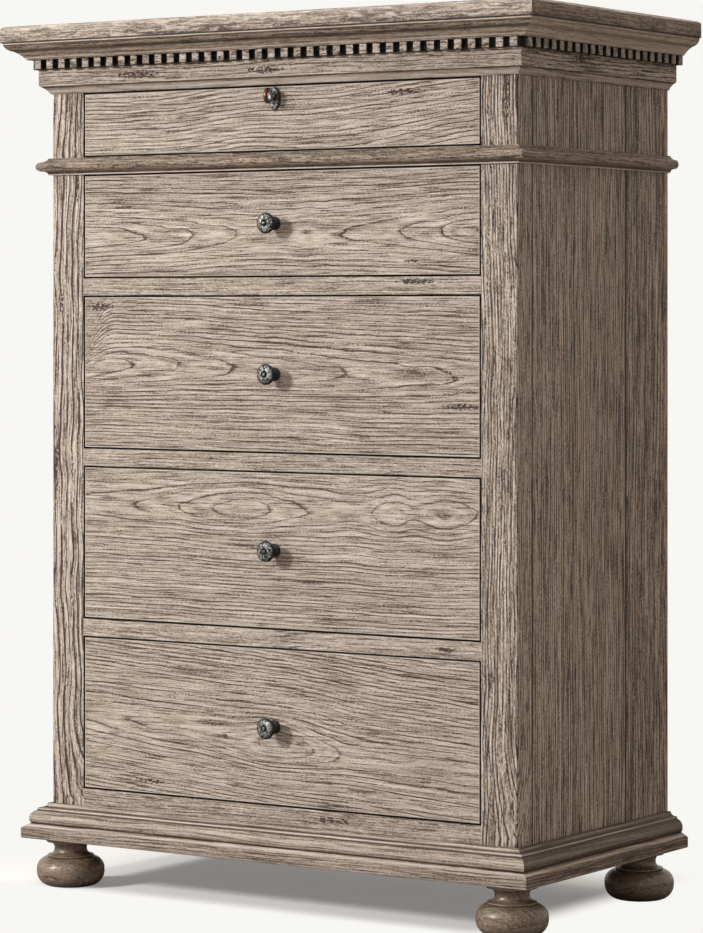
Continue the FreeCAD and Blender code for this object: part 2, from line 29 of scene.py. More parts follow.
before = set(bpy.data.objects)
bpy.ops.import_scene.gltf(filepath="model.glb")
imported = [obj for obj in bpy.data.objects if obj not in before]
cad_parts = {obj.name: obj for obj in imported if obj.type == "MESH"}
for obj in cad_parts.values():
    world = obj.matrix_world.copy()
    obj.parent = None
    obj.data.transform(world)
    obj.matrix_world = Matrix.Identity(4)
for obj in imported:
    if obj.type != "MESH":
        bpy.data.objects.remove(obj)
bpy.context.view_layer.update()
MM = 0.001

# Places on the chest, the same as in the CAD part
HALF_W = 450 * MM
FRONT_Y = -208.25 * MM
BACK_Y = 270.25 * MM
FOOT_H = 80 * MM
PLINTH_TOP = 104.5 * MM
TOP_OPENING = 1315.5 * MM
TOP_UNDER = 1399 * MM
TOP = 1426.5 * MM
TOP_HALF = 512 * MM
TOP_FRONT = -270.25 * MM
WAIST_LOW = 1180.5 * MM
POST_X = 417.5 * MM
POST_HALF = 32.5 * MM
FRIEZE_OUT = 16.4 * MM
CROWN_H = 27.5 * MM
DRAWER_HALF = 382.6 * MM
FRONT_GAP = 2.4 * MM
KNOB_R = 16.75 * MM
KNOB_OUT = 33 * MM
KEY_Z = 1297.1 * MM
PLATE_Z = 1294.1 * MM
PLATE_HALF = (9.25 * MM, 17.5 * MM)
# Lower and upper edge of each drawer's opening, from the top drawer down
LEVELS = {
    1: (1208.5 * MM, 1315.5 * MM),
    2: (1008.5 * MM, 1180.5 * MM),
    3: (727.5 * MM, 980.5 * MM),
    4: (446.5 * MM, 699.5 * MM),
    5: (165.5 * MM, 418.5 * MM),
}


# ---------------------------------------------------------------- camera, light and floor

def add_camera():
    """A level camera to the right of the front, its lens shifted down to the feet."""
    data = bpy.data.cameras.new("camera")
    data.lens = 135.83
    data.sensor_width = 36.0
    data.shift_y = -0.1654
    data.clip_end = 60.0
    camera = bpy.data.objects.new("camera", data)
    camera.location = (3.2007, -4.8170, 0.9530)
    camera.rotation_euler = (math.radians(90), 0, math.radians(33.532))
    bpy.context.scene.collection.objects.link(camera)
    bpy.context.scene.camera = camera


def add_lamp(name, place, target, size, power, colour):
    """Square soft lamp that faces a target."""
    data = bpy.data.lights.new(name, "AREA")
    data.shape = "SQUARE"
    data.size = size
    data.energy = power
    data.color = colour
    lamp = bpy.data.objects.new(name, data)
    aim = np.subtract(target, place)
    yaw = math.atan2(aim[1], aim[0]) - math.pi / 2
    pitch = math.atan2(aim[2], math.hypot(aim[0], aim[1]))
    lamp.location = place
    lamp.rotation_euler = (math.pi / 2 + pitch, 0, yaw)
    bpy.context.scene.collection.objects.link(lamp)


# ---------------------------------------------------------------- shader kit

class Value:
    """A shader socket that can be reckoned with: each operator adds one Math node."""

    def __init__(self, shader, socket):
        self.shader = shader
        self.socket = socket

    def __add__(self, other):
        return self.shader.math("ADD", self, other)

    def __radd__(self, other):
        return self.shader.math("ADD", other, self)

    def __sub__(self, other):
        return self.shader.math("SUBTRACT", self, other)

    def __rsub__(self, other):
        return self.shader.math("SUBTRACT", other, self)

    def __mul__(self, other):
        return self.shader.math("MULTIPLY", self, other)

    def __rmul__(self, other):
        return self.shader.math("MULTIPLY", other, self)

    def __truediv__(self, other):
        return self.shader.math("DIVIDE", self, other)

    def __rtruediv__(self, other):
        return self.shader.math("DIVIDE", other, self)

    def __pow__(self, other):
        return self.shader.math("POWER", self, other)


class Shader:
    """The node tree of a material or world, with one method that adds any node and fills it."""

    def __init__(self, owner):
        self.owner = owner
        owner.use_nodes = True
        self.tree = owner.node_tree
        self.tree.nodes.clear()

    def node(self, kind, settings=None, inputs=None, output=0):
        """Adds a node: its settings first, then values or links of its sockets by name or number."""
        node = self.tree.nodes.new("ShaderNode" + kind)
        for key, setting in (settings or {}).items():
            if key == "stops":
                self._set_stops(node.color_ramp, setting)
            elif key == "interpolation" and kind == "ValToRGB":
                node.color_ramp.interpolation = setting
            else:
                setattr(node, key, setting)
        for key, value in (inputs or {}).items():
            if isinstance(value, Value):
                self.tree.links.new(value.socket, node.inputs[key])
            else:
                node.inputs[key].default_value = value
        return Value(self, node.outputs[output]) if len(node.outputs) else node

    def _set_stops(self, ramp, stops):
        """Stops of a ramp, each a place and a colour or a number for grey."""
        for place, shade in stops[2:]:
            ramp.elements.new(place)
        for element, (place, shade) in zip(ramp.elements, stops):
            element.position = place
            element.color = (shade, shade, shade, 1) if isinstance(shade, (int, float)) else (*shade, 1)

    def math(self, operation, *values):
        """One Math node."""
        return self.node("Math", {"operation": operation}, dict(enumerate(values)))

    def clamp(self, value):
        """The value, kept between 0 and 1."""
        return self.node("Clamp", None, {0: value})

    def smooth(self, value, low, high):
        """0 below low and 1 above high, with an eased step between."""
        inputs = {"Value": value, "From Min": low, "From Max": high}
        return self.node("MapRange", {"interpolation_type": "SMOOTHSTEP"}, inputs)

    def ramp(self, value, stops, interpolation="LINEAR"):
        """Colour or grey looked up between the stops."""
        return self.node("ValToRGB", {"stops": stops, "interpolation": interpolation}, {0: value})

    def vector(self, x, y, z):
        """A vector of three numbers."""
        return self.node("CombineXYZ", None, {0: x, 1: y, 2: z})

    def noise(self, vector, detail=2.0, roughness=0.5, distortion=0.0):
        """Smooth noise of about 0.5, one wave to each unit of the vector."""
        inputs = {"Vector": vector, "Scale": 1.0, "Detail": detail, "Roughness": roughness,
                  "Distortion": distortion}
        return self.node("TexNoise", None, inputs)

    def mix(self, factor, first, second):
        """Colour between two colours."""
        inputs = {0: factor}
        for key, colour in ((6, first), (7, second)):
            inputs[key] = colour if isinstance(colour, Value) else (*colour, 1)
        return self.node("Mix", {"data_type": "RGBA"}, inputs, output=2)

    def stain(self, factor, colour, tint):
        """Colour times a tint, as far as the factor says."""
        inputs = {0: factor, 6: colour, 7: (*tint, 1)}
        return self.node("Mix", {"data_type": "RGBA", "blend_type": "MULTIPLY"}, inputs, output=2)

    def layer(self, name):
        """A number that the mesh keeps at each of its points."""
        return self.node("Attribute", {"attribute_name": name}, None, output=2)

    def oval(self, a, b, centre, half):
        """1 on an oval round a centre, 0 in its middle: sqrt(((a - ca) / ha)^2 + ((b - cb) / hb)^2)."""
        return self.math("SQRT", ((a - centre[0]) / half[0]) ** 2.0 + ((b - centre[1]) / half[1]) ** 2.0)

    def place(self):
        """The three object coordinates, in metres."""
        where = self.node("TexCoord", None, None, output=3)
        parts = self.node("SeparateXYZ", None, {0: where}).socket.node
        return [Value(self, socket) for socket in parts.outputs]

    def finish(self, colour, roughness, height, bump, depth, metallic=0.0):
        """Principled surface with bump from a height."""
        relief = self.node("Bump", None, {"Strength": bump, "Distance": depth, "Height": height})
        inputs = {"Base Color": colour, "Roughness": roughness, "Metallic": metallic, "Normal": relief}
        surface = self.node("BsdfPrincipled", None, inputs)
        self.node("OutputMaterial", None, {"Surface": surface})
        return self.owner


# ---------------------------------------------------------------- oak

AXES = {"x": 0, "y": 1, "z": 2}
# Painted shade in hollows and round the escutcheon plate, grime in board joints, and painted shade in the gaps
# round the drawers
PAINTED_SHADE = (0.036, 0.023, 0.015)
JOINT_DIRT = (0.010, 0.007, 0.005)
GAP_SHADE = (0.014, 0.009, 0.006)
# Light worn wood with a painted highlight on arrises and along the edges of the drawer fronts
WORN_AND_LIT_ARRIS = (0.68, 0.59, 0.51)
WORN_AND_LIT_EDGE = (0.70, 0.62, 0.54)
# From bare light wood to the dirt in its pores
OAK_SHADES = [(0.0, (0.690, 0.604, 0.530)), (0.26, (0.515, 0.434, 0.367)), (0.50, (0.355, 0.284, 0.226)),
              (0.76, (0.172, 0.121, 0.085)), (1.0, (0.042, 0.025, 0.016))]
# How dark a ring is from its beginning (0) to the next ring (1)
RING_LINE = [(0.0, 0.0), (0.06, 1.0), (0.15, 0.95), (0.30, 0.26), (0.50, 0.0), (1.0, 0.0)]


def oak(name, grain, across, seed, centre=(0, 0), depth_at=0.0, pith=0.0, tilt=0.0, bury=90 * MM,
        figure=None, span=0.8, ring=6.2 * MM, strength=1.0, contrast=1.0, wave=2 * MM, shade=0.0,
        tint=(1, 1, 1), short=1.0, thin=1.0, swirl=None, flecks=0.0, marks=(), joints=(), faint=None,
        gap_shadow=False, post=0, recess_shade=None, frame_width=None, curl=0.0, edges=None, plate_shadow=None, polish=0.0,
        flank_painted_tone=0.0, flank_painted_tint=(1, 1, 1)):
    """Weathered, wire-brushed oak.

    a runs along the grain, b across the face and c into the wood, from centre and depth_at. Growth
    rings are circles round a pith line that runs along the grain, behind the face: with off the way
    from the pith along b and buried the way along c, a ring starts where
    sqrt(off^2 + buried^2) / ring is a whole number. buried varies along the board, by noise round
    bury or as figure tells, which gives the arches and eyes of flat-sawn boards; wave, tilt, swirl
    and curl bend the rings. Long streaks and short pores lie along the grain (short and thin shrink
    them), and pores crowd where a ring begins. shade, contrast and tint set the tone; flecks are
    pale rays, marks are worn scars, and joints part boards of different tone. The rest is painted
    light and shade: painted shade in the gaps round drawers (gap), in hollows (glaze), a painted
    shadow round a plate (halo), and light worn wood with a painted highlight on arrises and along
    edges. frame_width turns the grain in the end boards of a framed top, mitred at its front
    corners, and flank_painted_tone and flank_painted_tint paint the end of that top or the outer side of a post
    lighter or darker, as painted light and shade."""
    s = Shader(bpy.data.materials.new(name))
    xyz = s.place()
    third = ({0, 1, 2} - {AXES[grain], AXES[across]}).pop()
    a = xyz[AXES[grain]] - centre[0]
    b = xyz[AXES[across]] - centre[1]
    c = xyz[third] - depth_at
    if frame_width:
        to_end = TOP_HALF - s.math("ABSOLUTE", a)
        flank = s.math("LESS_THAN", to_end, 0.5 * MM)
        turned_board = s.math("LESS_THAN", to_end, s.math("MINIMUM", b - TOP_FRONT, frame_width))
        # 0.71 m brings rings of their own to the end boards
        a, b = a + turned_board * (b - a), b + turned_board * (a - b) - turned_board * 0.71
    elif post:
        flank = s.math("GREATER_THAN", b * post, POST_HALF - 0.2 * MM)
    else:
        flank = 0.0
    # Painted light and shade: the end of a top or the outer side of a post is made lighter or darker
    shade = flank * flank_painted_tone + shade
    if curl:
        bend = (s.noise(s.vector(a * 60.0, b * 130.0 + seed, c * 130.0), 1.0) - 0.5) * curl
        b, c = b + bend, c + bend
    board = 0.0
    for joint, step in joints:
        past = s.math("GREATER_THAN", b, joint)
        board, shade = past + board, past * step + shade
    shift = board * 3.7 + seed * 5.31
    wander = s.noise(s.vector(a * 2.1 + shift, b * 7.0, c * 7.0 + seed), 2.0) - 0.5
    wobble = s.noise(s.vector(a * 18.0, b * 60.0 + shift, c * 60.0), 2.0) - 0.5
    sway = s.noise(s.vector(a * 7.5 + seed, b * 9.0 + shift, c * 9.0), 1.0) - 0.5
    off = b - pith + wander * (22 * MM) + wobble * (3 * MM) + sway * (wave * 3.0) + a * tilt
    if joints:
        off = off + board * (61 * MM)
    if swirl:
        turn = s.clamp((swirl[1] - a) / (swirl[1] - swirl[0])) ** 3.0
        off = off + turn * s.smooth(b, -40 * MM, 95 * MM) * swirl[2]
    if figure:
        low, high = min(d for _, d in figure), max(d for _, d in figure)
        stops = [((x * MM / span) + 0.5, (d - low) / (high - low)) for x, d in figure]
        buried = s.ramp(a / span + 0.5, stops, "CARDINAL") * ((high - low) * MM) + low * MM
    else:
        buried = (s.noise(s.vector(a * 1.6 + shift, seed * 2.3, 0.0), 1.0) - 0.5) * (50 * MM) + bury
    buried = buried + wobble * (3 * MM) + (0.0 if recess_shade and not frame_width else c)
    radius = s.math("SQRT", off * off + buried * buried)
    rings = radius / ring + wander * 0.8
    phase = s.math("FRACT", rings)
    each = s.node("TexWhiteNoise", {"noise_dimensions": "1D"}, {"W": s.math("FLOOR", rings) + seed})
    steep = s.math("MAXIMUM", s.math("ABSOLUTE", off) / radius, 0.34)
    early = s.ramp(s.clamp(phase / steep), RING_LINE) * (each * 0.75 + 0.40)

    # Layers of grain, from the longest to the shortest: waves per metre along a, b and c
    bands = s.noise(s.vector(a * (3.0 * short) + shift, b * 80.0, c * 80.0), 3.0)
    fibres = s.noise(s.vector(a * (5.0 * short) + shift, radius * (480.0 * thin),
                              b * (150.0 * thin) + c * 300.0), 0.0)
    broken = s.noise(s.vector(a * (8.0 * short), radius * 120.0 + shift, b * 30.0), 1.0)
    dashes = s.noise(s.vector(a * (13.0 * short) + b * 9.0 + shift, b * (430.0 * thin),
                              c * (430.0 * thin)), 1.0, 0.7)
    fine = s.noise(s.vector(a * (45.0 * short) - b * 30.0, b * (540.0 * thin) + a * 3.0,
                            c * (540.0 * thin)), 1.0)
    grit = s.noise(s.vector(a * 250.0 + b * 290.0, b * 420.0 - a * 70.0, c * 420.0 + shift), 1.0)
    line = early * strength * s.smooth(broken + (grit - 0.5) * 0.5, 0.24, 0.46)
    pores = s.smooth(dashes + line * 0.06 + (grit - 0.5) * 0.30, 0.57, 0.64)
    dark = ((fibres - 0.5) * 0.75 + (dashes - 0.5) * 0.42 + (fine - 0.5) * 0.65 + (bands - 0.5) * 0.34
            + (grit - 0.5) * 0.55 + pores * 0.30 + line * 0.68) * contrast + 0.36 + shade
    height = dark * -1.1 - pores * 0.35
    if flecks:
        slant = s.noise(s.vector(a * 90.0 + b * 160.0, b * 330.0 - a * 40.0, c * 60.0 + seed), 2.0)
        ray = s.smooth(slant, 0.54, 0.68)
        dark = dark - ray * (0.34 * flecks)
        height = height + ray * (0.3 * flecks)
    for place_a, place_b, half_a, half_b in marks:
        reach = s.oval(a, b, (place_a * MM, place_b * MM), (half_a * MM, half_b * MM))
        worms = s.noise(s.vector(a * 190.0, b * 380.0, c * 90.0 + seed), 3.0, 0.55, 0.8)
        pit = s.smooth(worms + (1.0 - reach) * 0.16, 0.56, 0.61) * s.smooth(reach, 1.0, 0.7)
        dark = dark + pit * 1.8
        height = height - pit * 2.4
    colour = s.ramp(s.clamp(dark), OAK_SHADES)
    for joint, _ in joints:
        seam = (s.smooth(s.math("ABSOLUTE", b - joint), 3.4 * MM, 2.1 * MM)
                * (0.35 if joint == faint else 0.97))
        colour = s.mix(seam, colour, JOINT_DIRT)
        height = height - seam * 2.0
    if recess_shade:
        # Painted shade in hollows: the glaze colour laid over the hollow layer
        colour = s.mix(s.clamp(s.layer("hollow") * (0.72 + bands * 0.5)), colour, recess_shade)
        # Light worn wood with a painted highlight on arrises
        colour = s.mix(s.clamp(s.layer("arris") * (1.8 - fibres * 1.6)), colour, WORN_AND_LIT_ARRIS)
    # Painted shadow round the escutcheon plate: a dark oval a little to the lower right of it
    if plate_shadow:
        colour = s.mix(s.smooth(s.oval(a, b, plate_shadow, PLATE_HALF), 1.28, 1.14) * 0.85, colour, PAINTED_SHADE)
    # Light worn wood with a painted highlight along the edges of a drawer front
    if edges:
        within = s.math("MINIMUM", edges[0] - s.math("ABSOLUTE", a), edges[1] - s.math("ABSOLUTE", b))
        colour = s.mix(s.smooth(within, 2.6 * MM, 1.2 * MM) * 0.6, colour, WORN_AND_LIT_EDGE)
    # Painted shade in the gaps round the drawers: the faces that border them are darkened from the front arris
    # back
    if gap_shadow:
        inside = s.smooth(c, 0.02 * MM, 0.55 * MM) * s.smooth(c, 19 * MM, 11 * MM)
        if post:
            inside = inside * s.math("LESS_THAN", b * post, POST_HALF - 1 * MM)
        colour = s.mix(inside * 0.97, colour, GAP_SHADE)
    colour = s.stain(1.0, colour, tint)
    if frame_width or post:
        # The painted tint of that end or side, for the light and shade on it
        colour = s.stain(flank, colour, flank_painted_tint)
    roughness = s.clamp(dark) * 0.12 + (0.60 - polish)
    return s.finish(colour, roughness, height, 0.8, 0.45 * MM)


# ---------------------------------------------------------------- metals

def pewter(name, seed, light):
    """Dark cast metal, rubbed bright where it stands out and kept dark where painted shade is laid on it:
    patches of noise choose between the two.
    """
    dark, warmth = 0.013, (1.0, 0.985, 0.96)
    s = Shader(bpy.data.materials.new(name))
    x, y, z = s.place()
    patches = s.noise(s.vector(x * 300.0 + seed, y * 300.0, z * 300.0), 4.0, 0.62, 0.4)
    grit = s.noise(s.vector(x * 1100.0, y * 1100.0, z * 1100.0 + seed), 2.0)
    proud = s.layer("proud")
    rubbed = s.smooth(patches + (grit - 0.5) * 0.4 + proud * 0.06, 0.49, 0.66) * proud
    colour = s.mix(rubbed, [dark * v for v in warmth], [light * v for v in warmth])
    height = rubbed * 0.4 + grit * 0.25 + patches * 0.5
    return s.finish(colour, 0.62 - rubbed * 0.16, height, 0.45, 0.3 * MM, metallic=0.6)


def plain_metal(name, colour, seed, rust=None):
    """Filed steel or iron with dull cloudy patches. A key of it is rusty towards the end one holds."""
    s = Shader(bpy.data.materials.new(name))
    x, y, z = s.place()
    clouds = s.noise(s.vector(x * 260.0 + seed, y * 260.0, z * 260.0), 4.0, 0.6)
    lines = s.noise(s.vector(x * 300.0, y * 2200.0, z * 2200.0 + seed), 2.0)
    patch = s.smooth(clouds, 0.38, 0.66)
    shade = s.mix(patch, colour, [v * 0.4 for v in colour])
    shade = s.mix(lines * 0.35, shade, [v * 0.4 for v in colour])
    if rust:
        shade = s.mix(s.smooth(y + clouds * (6 * MM), FRONT_Y - 16 * MM, FRONT_Y - 22 * MM), shade, rust)
    return s.finish(shade, 0.34 + patch * 0.25, clouds + lines * 0.4, 0.4, 0.2 * MM, metallic=0.8)


# ---------------------------------------------------------------- surfaces

def grid_faces(rows, columns, wrap_rows=False, wrap_columns=False):
    """Four-cornered faces between the neighbours of a grid of points, numbered row by row."""
    i, j = np.meshgrid(np.arange(rows - (not wrap_rows)), np.arange(columns - (not wrap_columns)),
                       indexing="ij")
    up, on = (i + 1) % rows, (j + 1) % columns
    return np.stack([i * columns + j, i * columns + on, up * columns + on, up * columns + j], -1).reshape(-1, 4)


def tube(points):
    """Closed shell from rings of points (rings x points x 3): walls between rings, a cap on each end."""
    rings, around = points.shape[:2]
    faces = grid_faces(rings, around, wrap_columns=True).tolist()
    last = (rings - 1) * around
    faces.append(list(range(around)))
    faces.append(list(range(last, last + around)))
    return points.reshape(-1, 3), faces


def make_piece(name, shells, material, body, stands_for, layers=None):
    """One mesh from closed shells of (points, faces), riding on a body in place of CAD nodes.

    Faces look outwards, edges of more than 38 degrees are sharp, and layers are numbers per point."""
    points = np.concatenate([shell[0] for shell in shells])
    faces, start = [], 0
    for shell_points, shell_faces in shells:
        faces += [[index + start for index in face] for face in shell_faces]
        start += len(shell_points)
    mesh = bpy.data.meshes.new(name)
    mesh.from_pydata(points.tolist(), [], faces)
    for layer, values in (layers or {}).items():
        attribute = mesh.attributes.new(layer, "FLOAT", "POINT")
        attribute.data.foreach_set("value", np.asarray(values, np.float32).ravel())
    work = bmesh.new()
    work.from_mesh(mesh)
    bmesh.ops.recalc_face_normals(work, faces=work.faces)
    work.to_mesh(mesh)
    work.free()
    mesh.shade_smooth()
    mesh.set_sharp_from_angle(angle=math.radians(38))
    mesh.materials.append(material)
    piece = bpy.data.objects.new(name, mesh)
    bpy.context.scene.collection.objects.link(piece)
    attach(piece, body)
    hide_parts(*stands_for)


def arc_points(start, middle, end, cuts):
    """Points on the circle through three points, in equal angles, without the first."""
    (ax, ay), (bx, by), (cx, cy) = start, middle, end
    d = 2 * (ax * (by - cy) + bx * (cy - ay) + cx * (ay - by))
    ux = ((ax**2 + ay**2) * (by - cy) + (bx**2 + by**2) * (cy - ay) + (cx**2 + cy**2) * (ay - by)) / d
    uy = ((ax**2 + ay**2) * (cx - bx) + (bx**2 + by**2) * (ax - cx) + (cx**2 + cy**2) * (bx - ax)) / d
    first, via, last = (math.atan2(y - uy, x - ux) for x, y in (start, middle, end))
    turn = (last - first) % (2 * math.pi)
    if (via - first) % (2 * math.pi) > turn:
        turn -= 2 * math.pi
    angles = first + turn * np.arange(1, cuts + 1) / cuts
    radius = math.hypot(ax - ux, ay - uy)
    return np.stack([ux + radius * np.cos(angles), uy + radius * np.sin(angles)], -1)


def outline(shares, out, height, cuts=10, closed=True):
    """Points along a profile given in shares: two numbers end a line, four an arc through a middle."""
    size = np.array([out, height])
    start = np.array(shares[-1][-2:] if closed else shares[0][-2:]) * size
    points = [] if closed else [start[None]]
    for entry in shares if closed else shares[1:]:
        end = np.array(entry[-2:]) * size
        if len(entry) == 4:
            points.append(arc_points(start, np.array(entry[:2]) * size, end, cuts))
        else:
            points.append(end[None])
        start = end
    return np.concatenate(points)


def ease_corners(points, ease, closed=True):
    """Each corner of more than 24 degrees becomes a short curve of three points, no wider than a
    third of its sides."""
    before, after = np.roll(points, 1, 0) - points, np.roll(points, -1, 0) - points
    len_before, len_after = np.hypot(*before.T), np.hypot(*after.T)
    along = -(before * after).sum(1) / np.maximum(len_before * len_after, 1e-12)
    corner = np.degrees(np.arccos(np.clip(along, -1, 1))) > 24
    if not closed:
        corner[[0, -1]] = False
    reach = np.minimum(ease, np.minimum(len_before, len_after) / 3)
    first = points + before * (reach / np.maximum(len_before, 1e-9))[:, None]
    last = points + after * (reach / np.maximum(len_after, 1e-9))[:, None]
    middle = points * 0.5 + first * 0.25 + last * 0.25
    made = [np.stack([f, m, l]) if c else p[None] for p, f, m, l, c in zip(points, first, middle, last, corner)]
    return np.concatenate(made)


def divide(points, step, most):
    """More points along the long visible sides of a profile, so that painted shade, painted highlights and wear
    can change on them.
    """
    made = []
    for start, end in zip(points, np.roll(points, -1, 0)):
        hidden = max(start[0], end[0]) < 0.1 * MM
        count = 1 if hidden else max(1, min(int(np.hypot(*(end - start)) / step), most))
        made.append(start + (end - start) * np.arange(count)[:, None] / count)
    return np.concatenate(made)


def pocket(points, reach=3.6 * MM, above=False, below=False):
    """How much wood fills a small disc round each point of a profile, less a half: more than 0 in
    hollows, less on arrises. A spot of the disc is in the wood if a level line from it crosses the
    profile an odd number of times. The case behind counts as wood, and a neighbour above or below
    if told."""
    ring, spoke = np.meshgrid(np.linspace(0.2, 1, 5), np.radians(np.arange(0, 360, 10)))
    disc = np.stack([ring * np.cos(spoke), ring * np.sin(spoke)], -1).reshape(-1, 2) * reach
    spots = (points[:, None] + disc)[:, :, None]
    start, end = points, np.roll(points, -1, 0)
    rise = np.where(end[:, 1] == start[:, 1], 1e-12, end[:, 1] - start[:, 1])
    crossed = (start[:, 1] > spots[..., 1]) != (end[:, 1] > spots[..., 1])
    at = start[:, 0] + (spots[..., 1] - start[:, 1]) * (end[:, 0] - start[:, 0]) / rise
    wood = (crossed & (spots[..., 0] < at)).sum(-1) % 2 == 1
    wood |= spots[:, :, 0, 0] < 0
    if above:
        wood |= spots[:, :, 0, 1] > points[:, 1].max()
    if below:
        wood |= spots[:, :, 0, 1] < points[:, 1].min()
    return (wood * ring.ravel()).sum(1) / ring.sum() - 0.5


def unevenness(places, seed, size, wave):
    """Smooth seeded noise along a line: random heights h at every wave, joined by eased steps,
    h0 (1 - e) + h1 e with e = t^2 (3 - 2 t) from t = 0 to 1."""
    count = int((places.max() - places.min()) / wave) + 3
    heights = np.random.default_rng(seed).uniform(0, 1, count) ** 2
    at = (places - places.min()) / wave
    index = at.astype(int)
    part = at - index
    eased = part * part * (3 - 2 * part)
    return size * (heights[index] * (1 - eased) + heights[index + 1] * eased)


# ---------------------------------------------------------------- mouldings

# Profiles in shares of how far they stand out and how high they are, from the case's face: two
# numbers end a line, four an arc through a middle
FRIEZE = ((0, 0), (0.10, 0), (0.18, 0.012), (0.49, 0.090, 0.95, 0.150), (1, 0.150), (1, 1), (0, 1))
CROWN = ((0, 0), (0.343, 0), (0.343, 0.091), (0.380, 0.091), (0.519, 0.320, 0.728, 0.520),
         (0.900, 0.655, 0.990, 0.890), (1, 0.890), (1, 1), (0, 1))
WAIST = ((0, 0), (0.26, 0), (0.26, 0.05), (0.36, 0.17, 0.56, 0.22), (1, 0.50, 0.60, 0.77),
         (0.41, 0.84, 0.26, 0.96), (0.26, 1), (0, 1))
BASE = ((0, 0), (0.911, 0), (1, 0.246, 0.679, 0.646), (0.643, 0.665), (0.625, 0.772), (0.430, 0.780),
        (0.270, 0.875, 0.196, 1), (0, 1))
PLINTH = ((0, 0), (0.985, 0), (1, 0.060), (1, 0.714), (0.891, 1), (0, 1))


def moulding_run(profile, arris, start, low, side, seed):
    """A profile carried along the front (side 0) or a side (-1 or 1), mitred at the front corners.

    A point of the profile that stands p out from the case runs as far past the case's corner as p, so
    the cut is at 45 degrees. Arrises are worn back by smooth noise along the run."""
    stand, height = profile[:, 0] + start, profile[:, 1] + low
    share = (np.linspace(0, 1, 85) if side else np.linspace(-1, 1, 161))[:, None]
    worn = unevenness(share[:, 0] * HALF_W, seed, 0.5 * MM, 9 * MM)[:, None] * arris
    if side:
        x = side * (HALF_W + stand - worn)
        y = (FRONT_Y - stand) * (1 - share) + BACK_Y * share
    else:
        x = share * (HALF_W + stand)
        y = FRONT_Y - stand + worn
    return tube(np.stack(np.broadcast_arrays(x, y, height), -1))


def add_mouldings(name, shares, start, out, low, height, materials, above=False, below=False, lines=()):
    """The three runs of one moulding, each standing for its CAD node: start, out and height in mm,
    the materials of the front and of the sides. Painted shade lies in its hollows, and painted shade
    and painted highlights lie along the lines, given as (share of the height, width in mm, depth):
    1 is black, -1 a light painted highlight."""
    profile = divide(ease_corners(outline(shares, out * MM, height * MM), 0.7 * MM), 0.8 * MM, 22)
    filled = pocket(profile, above=above, below=below)
    seen = profile[:, 0] > 0.01 * MM
    # Painted lines across the profile: shade where the depth is above 0, highlight where it is below
    painted_lines = sum((depth * np.exp(-(((profile[:, 1] - share * height * MM) / (width * MM)) ** 2))
                 for share, width, depth in lines), np.zeros(len(profile)))
    hollow = np.clip(filled * 3.4 + painted_lines, 0, 1) * seen
    arris = np.clip(np.clip(-filled * 3.2 - 0.1, 0, 1) - painted_lines, 0, 1) * seen
    for number, (place, side) in enumerate((("front", 0), ("right", 1), ("left", -1))):
        shell = moulding_run(profile, arris, start * MM, low, side, number + len(name))
        rows = len(shell[0]) // len(profile)
        layers = {"hollow": np.tile(hollow, rows), "arris": np.tile(arris, rows)}
        node = f"{name}_{place}"
        make_piece(node + "_run", [shell], materials[bool(side)], "case", [node], layers)


# ---------------------------------------------------------------- rounded blocks

def rounded_block(low, high, ease, cuts=2):
    """Block with rounded edges: each point p of its six faces' grids goes to q + ease (p - q) / |p - q|,
    where q is the nearest point of the block that is smaller by ease all round."""
    low, high = np.asarray(low, float), np.asarray(high, float)
    steps = ease * (1 - np.tan(np.radians(45 * (1 - np.arange(cuts + 1) / cuts))))
    lines = [np.concatenate([l + steps, (h - steps)[::-1]]) for l, h in zip(low, high)]
    points, faces, start = [], [], 0
    for axis in range(3):
        first, second = [i for i in range(3) if i != axis]
        u, v = np.meshgrid(lines[first], lines[second], indexing="ij")
        for end in (low, high):
            face = np.empty(u.shape + (3,))
            face[..., first], face[..., second], face[..., axis] = u, v, end[axis]
            points.append(face.reshape(-1, 3))
            faces.append(grid_faces(*u.shape) + start)
            start += u.size
    points, faces = np.concatenate(points), np.concatenate(faces)
    inner = np.clip(points, low + ease, high - ease)
    away = points - inner
    points = inner + away * (ease / np.linalg.norm(away, axis=1))[:, None]
    _, keep, index = np.unique(np.round(points / (0.001 * MM)), axis=0, return_index=True, return_inverse=True)
    return points[keep], index.ravel()[faces].tolist()


